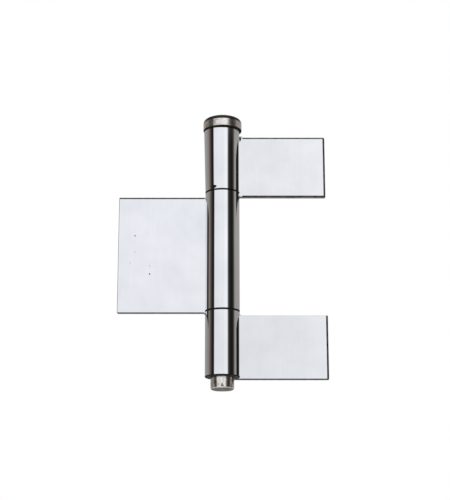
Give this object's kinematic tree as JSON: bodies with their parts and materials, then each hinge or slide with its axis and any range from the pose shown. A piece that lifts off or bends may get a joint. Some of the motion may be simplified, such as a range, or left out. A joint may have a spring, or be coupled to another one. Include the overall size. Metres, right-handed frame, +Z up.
{
  "type": "three-part flag hinge",
  "caption": "Flag hinge for a door or window: flat let-in leaves rolled round one loose headed pin, turning freely about it.",
  "frame": {"origin": "on the pin axis, halfway along the pin from the crown of its head to its lower end", "axes": "+Z up the pin towards its head, +X towards the frame leaves and -X towards the door leaf with the hinge open flat, +Y out of the back of the leaves, away from the barrel"},
  "size_m": [0.0914, 0.017, 0.1226],
  "materials": {
    "plated_strip": "steel strip, bright nickel plated and mirror polished",
    "plated_pin": "turned steel, bright nickel plated and polished"
  },
  "bodies": {
    "frame_side": {"lower_frame_leaf": "plated_strip", "hinge_pin": "plated_pin"},
    "door_side": {"door_leaf": "plated_strip"},
    "upper_side": {"upper_frame_leaf": "plated_strip"}
  },
  "joints": [
    {"name": "door_swing", "type": "hinge", "parent": "frame_side", "child": "door_side", "pos_m": [0, 0, 0], "axis": [0, 0, 1], "continuous": true},
    {"name": "upper_leaf_turn", "type": "hinge", "parent": "frame_side", "child": "upper_side", "pos_m": [0, 0, 0], "axis": [0, 0, 1], "continuous": true}
  ]
}
